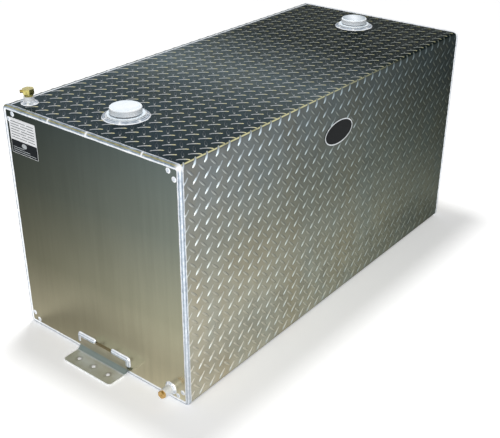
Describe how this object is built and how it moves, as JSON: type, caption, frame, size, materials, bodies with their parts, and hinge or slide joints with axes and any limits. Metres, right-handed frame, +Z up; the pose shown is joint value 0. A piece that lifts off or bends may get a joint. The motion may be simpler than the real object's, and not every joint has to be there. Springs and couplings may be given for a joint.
{
  "type": "truck bed transfer tank",
  "caption": "Rectangular welded aluminium fuel tank of diamond tread plate with smooth ends, screwed filler caps, breather vent, drain plug and bolt-down feet.",
  "frame": {"origin": "centre of the footprint, on the truck bed under the tank", "axes": "+X along the tank towards the end without the drain, +Y from the front face to the back face, +Z up"},
  "size_m": [1.3462, 0.562, 0.6446],
  "materials": {
    "tread_plate": "bright rolled tread plate",
    "smooth_plate": "mill finish, nearly mirror bright",
    "folded_sheet": "mill finish",
    "weld_metal": "bright weld bead",
    "turned_aluminium": "turned",
    "brass_fitting": "turned",
    "seal_rubber": "matt"
  },
  "bodies": {
    "tank": {"tread_plate_wrap": "tread_plate", "left_end_plate": "smooth_plate", "right_end_plate": "smooth_plate", "left_baffle": "folded_sheet", "right_baffle": "folded_sheet", "left_end_weld": "weld_metal", "right_end_weld": "weld_metal", "closing_seam_weld": "weld_metal", "left_upper_front_plug_welds": "weld_metal", "left_upper_back_plug_welds": "weld_metal", "left_lower_front_plug_welds": "weld_metal", "left_lower_back_plug_welds": "weld_metal", "right_upper_front_plug_welds": "weld_metal", "right_upper_back_plug_welds": "weld_metal", "right_lower_front_plug_welds": "weld_metal", "right_lower_back_plug_welds": "weld_metal", "left_filler_neck": "turned_aluminium", "right_filler_neck": "turned_aluminium", "left_neck_weld": "weld_metal", "right_neck_weld": "weld_metal", "vent_coupling": "turned_aluminium", "vent_coupling_weld": "weld_metal", "vent_body": "brass_fitting", "vent_outlet_stub": "brass_fitting", "drain_coupling": "turned_aluminium", "drain_coupling_weld": "weld_metal", "drain_plug": "brass_fitting", "left_bracket": "folded_sheet", "right_bracket": "folded_sheet", "left_bracket_welds": "weld_metal", "right_bracket_welds": "weld_metal"},
    "left_seal": {"left_cap_gasket": "seal_rubber"},
    "right_seal": {"right_cap_gasket": "seal_rubber"},
    "left_cap": {"left_filler_cap": "turned_aluminium"},
    "right_cap": {"right_filler_cap": "turned_aluminium"}
  },
  "joints": [
    {"name": "left_cap_lift", "type": "slide", "parent": "tank", "child": "left_seal", "axis": [0, 0, 1], "range_m": [0, 0.015]},
    {"name": "left_cap_turn", "type": "hinge", "parent": "left_seal", "child": "left_cap", "pos_m": [-0.4826, 0, 0.6196], "axis": [0, 0, 1], "range_deg": [0, 1080]},
    {"name": "right_cap_lift", "type": "slide", "parent": "tank", "child": "right_seal", "axis": [0, 0, 1], "range_m": [0, 0.015]},
    {"name": "right_cap_turn", "type": "hinge", "parent": "right_seal", "child": "right_cap", "pos_m": [0.4736, 0, 0.6196], "axis": [0, 0, 1], "range_deg": [0, 1080]}
  ],
  "couplings": [
    {"joint": "left_cap_lift", "follows": "left_cap_turn", "m_per_rad": 0.0007957},
    {"joint": "right_cap_lift", "follows": "right_cap_turn", "m_per_rad": 0.0007957}
  ]
}
